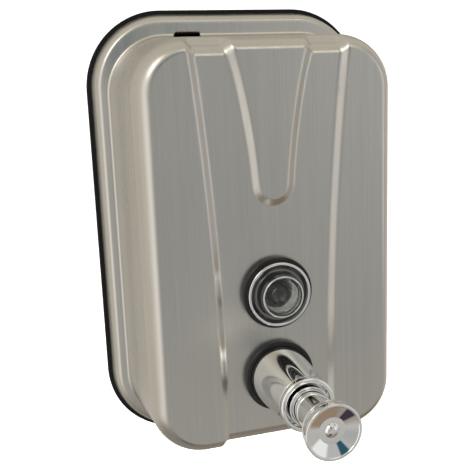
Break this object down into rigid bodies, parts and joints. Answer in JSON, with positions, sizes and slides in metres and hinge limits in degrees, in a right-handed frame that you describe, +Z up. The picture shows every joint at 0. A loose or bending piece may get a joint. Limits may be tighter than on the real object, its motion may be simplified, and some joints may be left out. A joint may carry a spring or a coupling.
{
  "type": "wall mounted soap dispenser",
  "caption": "Upright steel liquid soap dispenser for a wall, with a hinged lockable cover, an inner reservoir, a sight glass and a horizontal push pump.",
  "frame": {"origin": "centre of the wall plate's flat back face, in the plane of the wall", "axes": "+Y into the wall, +Z up, so the button points along -Y and +X is to the right of a person who faces the dispenser"},
  "size_m": [0.122, 0.109, 0.1891],
  "materials": {
    "cover_steel": "brushed up and down",
    "plain_steel": "plain",
    "chrome_plate": "mirror bright",
    "black_plastic": "moulded, satin",
    "white_plastic": "moulded",
    "tank_plastic": "milky",
    "black_rubber": "smooth",
    "pale_rubber": "silicone",
    "clear_lens": "clear"
  },
  "bodies": {
    "wall_side": {"wall_plate": "black_plastic", "hinge_rod": "plain_steel", "latch_bracket": "black_plastic", "latch_screws": "plain_steel", "latch_spring": "plain_steel"},
    "latch": {"latch_bolt": "black_plastic"},
    "cover": {"front_shell": "cover_steel", "hinge_leaf": "plain_steel", "latch_catch": "plain_steel", "tank_body": "tank_plastic", "tank_back": "tank_plastic", "sight_gasket": "black_rubber", "sight_bezel": "chrome_plate", "sight_lens": "clear_lens", "sight_seal": "pale_rubber", "sight_nut": "white_plastic", "pump_gasket": "black_rubber", "pump_sleeve": "chrome_plate", "pump_seal": "pale_rubber", "pump_nut": "white_plastic", "pump_cylinder": "white_plastic", "guide_bush": "chrome_plate", "outlet_nozzle": "black_rubber", "inlet_seat": "white_plastic", "return_spring": "plain_steel"},
    "cap": {"filler_cap": "black_plastic", "filler_seal": "pale_rubber"},
    "plunger": {"push_button": "chrome_plate", "piston": "white_plastic", "piston_ring": "black_rubber"},
    "valve_ball": {"inlet_ball": "plain_steel"}
  },
  "joints": [
    {"name": "cover_tilt", "type": "hinge", "parent": "wall_side", "child": "cover", "pos_m": [0, -0.0082, -0.0936], "axis": [1, 0, 0], "range_deg": [0, 75]},
    {"name": "button_press", "type": "slide", "parent": "cover", "child": "plunger", "axis": [0, 1, 0], "range_m": [0, 0.012], "stiffness_N_per_m": 350, "springref_m": -0.02, "deforming": ["return_spring"]},
    {"name": "latch_press", "type": "slide", "parent": "wall_side", "child": "latch", "axis": [0, 0, -1], "range_m": [0, 0.0025], "stiffness_N_per_m": 400, "springref_m": -0.003, "deforming": ["latch_spring"]},
    {"name": "filler_cap_turn", "type": "hinge", "parent": "cover", "child": "cap", "pos_m": [0.012, -0.0042, 0.036], "axis": [0, 1, 0], "range_deg": [0, 90]},
    {"name": "inlet_ball_lift", "type": "slide", "parent": "cover", "child": "valve_ball", "axis": [0, 0, 1], "range_m": [0, 0.0015]}
  ]
}
